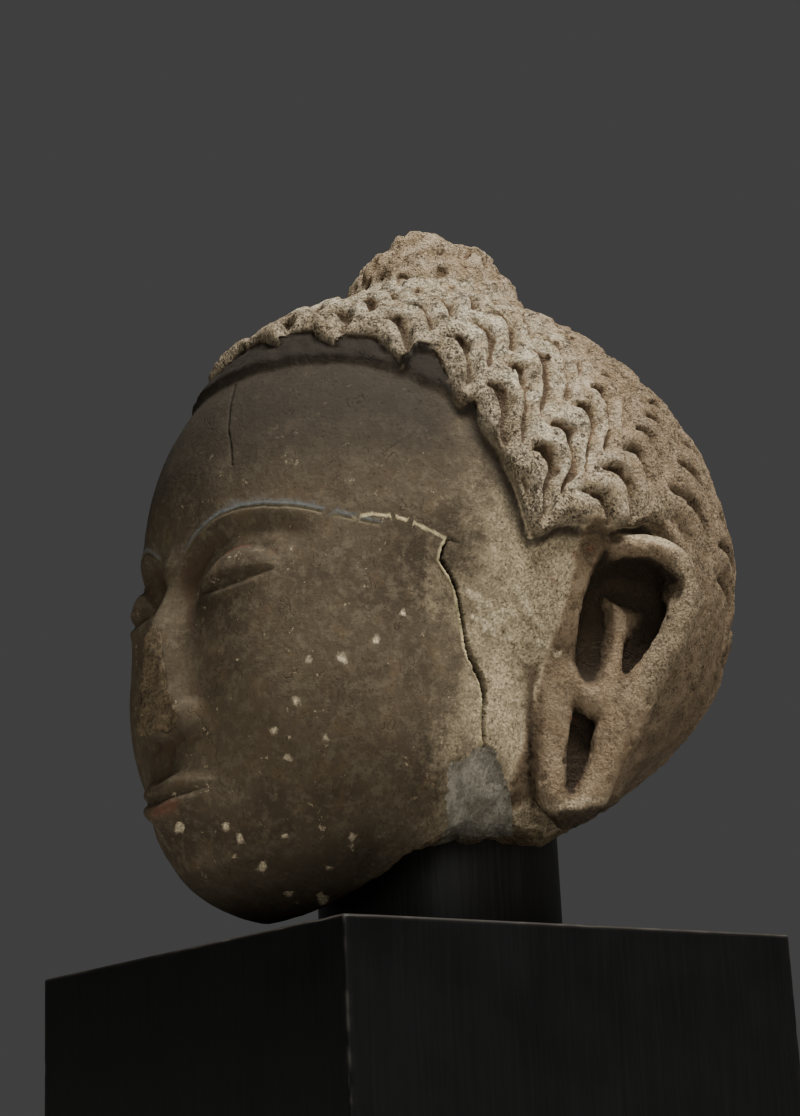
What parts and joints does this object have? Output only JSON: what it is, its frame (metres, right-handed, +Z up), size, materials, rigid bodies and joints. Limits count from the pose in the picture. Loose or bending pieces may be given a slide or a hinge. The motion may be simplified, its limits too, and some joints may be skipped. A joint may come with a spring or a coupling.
{
  "type": "stucco head on display stand",
  "caption": "Weathered stucco head with rows of wavy hair, a topknot and long slit ears, held up by a round post that rises from a square foot block.",
  "frame": {"origin": "centre of the foot block's underside", "axes": "+Z up, the face looks along -Y, the figure's left side is +X"},
  "size_m": [0.2824, 0.329, 0.5265],
  "materials": {
    "aged_stucco": null,
    "post_black": "black brushed paint, satin",
    "block_black": "black painted wood, satin, worn at the edges"
  },
  "bodies": {
    "root": {"stucco_head": "aged_stucco", "post": "post_black", "foot_block": "block_black"}
  },
  "joints": []
}
